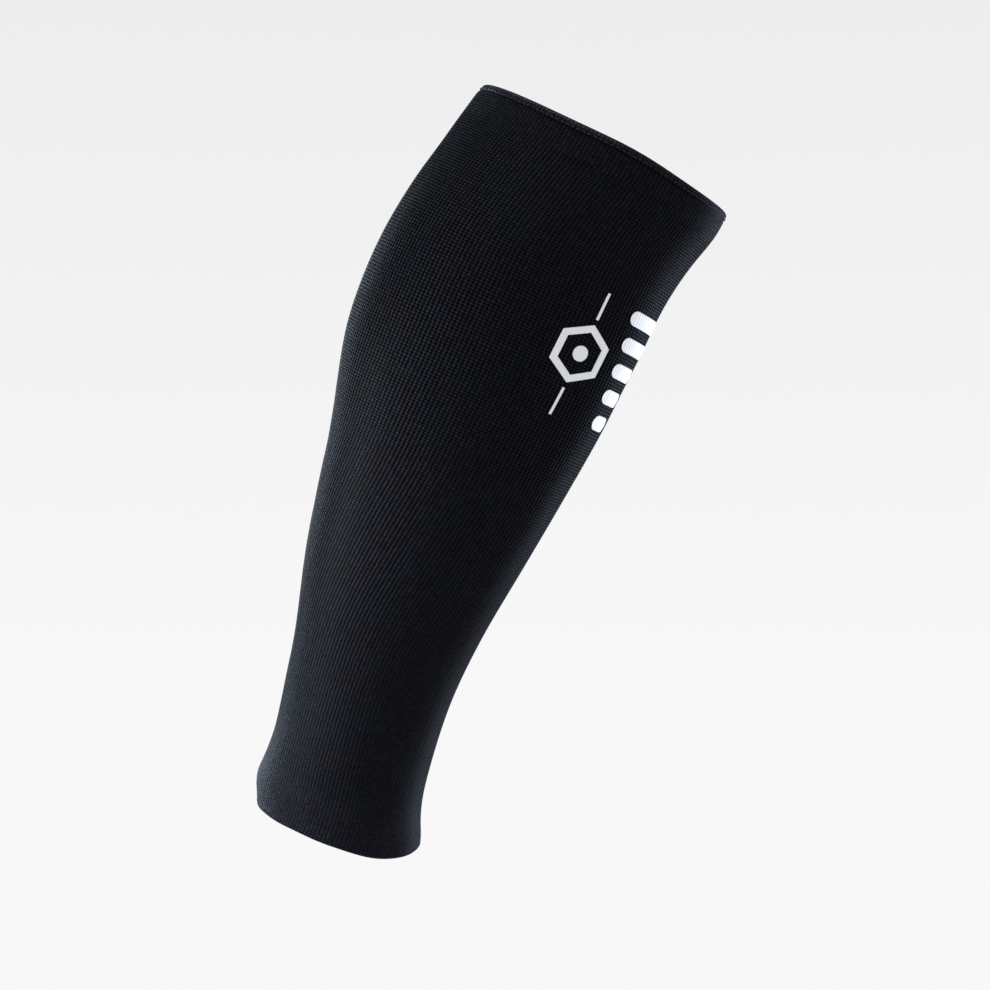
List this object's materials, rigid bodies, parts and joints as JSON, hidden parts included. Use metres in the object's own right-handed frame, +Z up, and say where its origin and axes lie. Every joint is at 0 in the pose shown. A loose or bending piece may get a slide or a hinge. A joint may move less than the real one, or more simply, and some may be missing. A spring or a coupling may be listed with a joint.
{
  "type": "calf compression sleeve",
  "caption": "Footless knitted tube shaped to the lower leg, with a turned-in hem below the knee, a ribbed ankle edge and a pale geometric print on the shin.",
  "frame": {"origin": "middle of the hollow where the calf is widest, 240 mm above the ankle rim", "axes": "+Z runs up the leg towards the knee, -Y is the shin, +Y is the calf, and X runs across the leg"},
  "size_m": [0.118, 0.1384, 0.331],
  "materials": {
    "knit": "black waffle-textured compression knit, matt with a faint cool sheen",
    "hem": "the same black knit turned in double and stitched, smoother and denser",
    "rib": "the same black yarn in fine upright ribs",
    "print": "thin off-white transfer film that follows the knit"
  },
  "bodies": {
    "root": {"knit_tube": "knit", "knee_hem": "hem", "ankle_rib": "rib", "print_bar_1": "print", "print_bar_2": "print", "print_bar_3": "print", "print_bar_4": "print", "print_bar_5": "print", "print_frame_inner": "print", "print_dot_inner": "print", "print_rule_inner_upper": "print", "print_rule_inner_lower": "print", "print_frame_outer": "print", "print_dot_outer": "print", "print_rule_outer_upper": "print", "print_rule_outer_lower": "print"}
  },
  "joints": []
}
